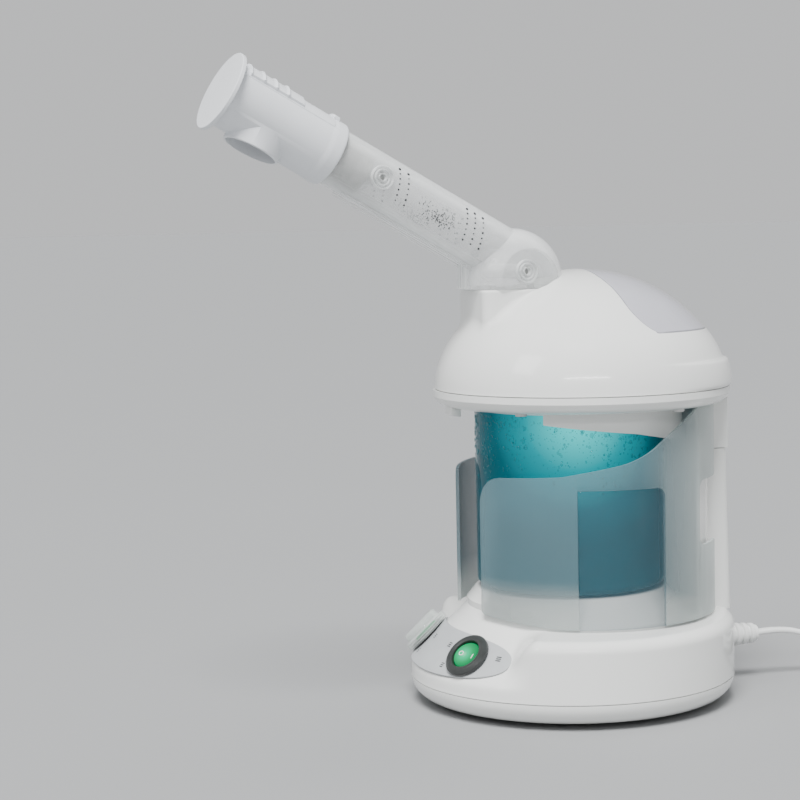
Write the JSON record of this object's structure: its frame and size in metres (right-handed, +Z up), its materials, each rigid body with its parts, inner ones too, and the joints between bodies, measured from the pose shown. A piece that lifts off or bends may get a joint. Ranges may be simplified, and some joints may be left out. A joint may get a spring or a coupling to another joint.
{
  "type": "facial steamer",
  "caption": "Tabletop facial steamer with round base, glass water jar in a frosted guard, domed head and a clear swivelling arm with an adjustable steam nozzle.",
  "frame": {"origin": "on the floor, on the common axis of the round base and the water jar", "axes": "+Z up, -Y the front with the two switches, +X to the right of a person who looks at the rear of the object"},
  "size_m": [0.172, 0.4905, 0.3392],
  "materials": {
    "white_shell": "glossy warm white moulded plastic",
    "nozzle_white": "satin cool white moulded plastic",
    "panel_silver": "satin silver-grey panel",
    "switch_charcoal": "charcoal switch housing",
    "rocker_green": "lit green translucent rocker",
    "clear_cap": "clear flexible splash cap",
    "steel": "plain steel",
    "aluminium": "aluminium can",
    "board_green": "circuit board",
    "terminal_white": "terminal block",
    "wire_grey": "insulated wire",
    "cord_white": "white flexible lead",
    "rubber_black": "foot rubber",
    "seal_silicone": "silicone seal",
    "frosted_guard": "frosted translucent sheet",
    "smoke_lid": "smoky translucent lid",
    "teal_glass": "teal transparent glass",
    "clear_arm": "clear plastic",
    "sleeve_clear": "misted clear plastic",
    "lamp_glass": "quartz lamp glass",
    "cap_white": "heat-proof white plastic",
    "grille_grey": "dark grille"
  },
  "bodies": {
    "housing": {"base_cover": "white_shell", "base_housing": "white_shell", "base_screws": "steel", "boiler_cap": "cap_white", "control_board": "board_green", "control_panel_plate": "panel_silver", "cord_coil": "cord_white", "cord_end": "cord_white", "cord_tube": "cord_white", "duct_seal": "seal_silicone", "foot_ring": "rubber_black", "guard_left_panel": "frosted_guard", "guard_right_panel": "frosted_guard", "head_base": "white_shell", "head_dome": "white_shell", "head_screws": "steel", "heater_element": "steel", "heater_flange": "steel", "jar_gasket": "seal_silicone", "jar_skirt": "white_shell", "lamp_holder": "cap_white", "lid_hinge_pin": "steel", "mains_plug": "cord_white", "mains_terminal": "terminal_white", "ozone_lamp": "lamp_glass", "ozone_switch_body": "switch_charcoal", "ozone_switch_cap": "clear_cap", "power_switch_body": "switch_charcoal", "riser_wires": "wire_grey", "steam_duct": "cap_white", "strain_relief": "cord_white", "thermal_cutout": "aluminium"},
    "arm": {"arm_left_shell": "clear_arm", "arm_right_shell": "clear_arm", "arm_screws": "steel", "swivel_retainer": "cap_white"},
    "sleeve": {"nozzle_sleeve": "sleeve_clear", "sleeve_ring": "seal_silicone"},
    "nozzle": {"nozzle_head": "nozzle_white", "outlet_grille": "grille_grey"},
    "lid": {"rear_lid": "smoke_lid"},
    "jar": {"water_jar": "teal_glass"},
    "power_rocker": {"power_switch_rocker": "rocker_green"},
    "ozone_rocker": {"ozone_switch_rocker": "rocker_green"}
  },
  "joints": [
    {"name": "arm_swivel", "type": "hinge", "parent": "housing", "child": "arm", "pos_m": [0, -0.031, 0.2185], "axis": [0, 0, 1], "range_deg": [-98, 82]},
    {"name": "nozzle_extend", "type": "slide", "parent": "arm", "child": "sleeve", "axis": [0.122, -0.8682, 0.481], "range_m": [0, 0.02]},
    {"name": "nozzle_turn", "type": "hinge", "parent": "sleeve", "child": "nozzle", "pos_m": [0.01586, -0.14386, 0.29528], "axis": [0.122, -0.8682, 0.481], "continuous": true},
    {"name": "lid_hinge", "type": "hinge", "parent": "housing", "child": "lid", "pos_m": [0, 0.015, 0.221], "axis": [1, 0, 0], "range_deg": [0, 65]},
    {"name": "jar_twist", "type": "hinge", "parent": "housing", "child": "jar", "pos_m": [0, 0, 0.11], "axis": [0, 0, 1], "range_deg": [-40, 0]},
    {"name": "power_rocker_tilt", "type": "hinge", "parent": "housing", "child": "power_rocker", "pos_m": [0.03163, -0.06877, 0.0317], "axis": [-0.2955, 0.6424, 0.7071], "range_deg": [-16, 0]},
    {"name": "ozone_rocker_tilt", "type": "hinge", "parent": "housing", "child": "ozone_rocker", "pos_m": [-0.03163, -0.06877, 0.0317], "axis": [0.2955, 0.6424, 0.7071], "range_deg": [0, 16]}
  ]
}
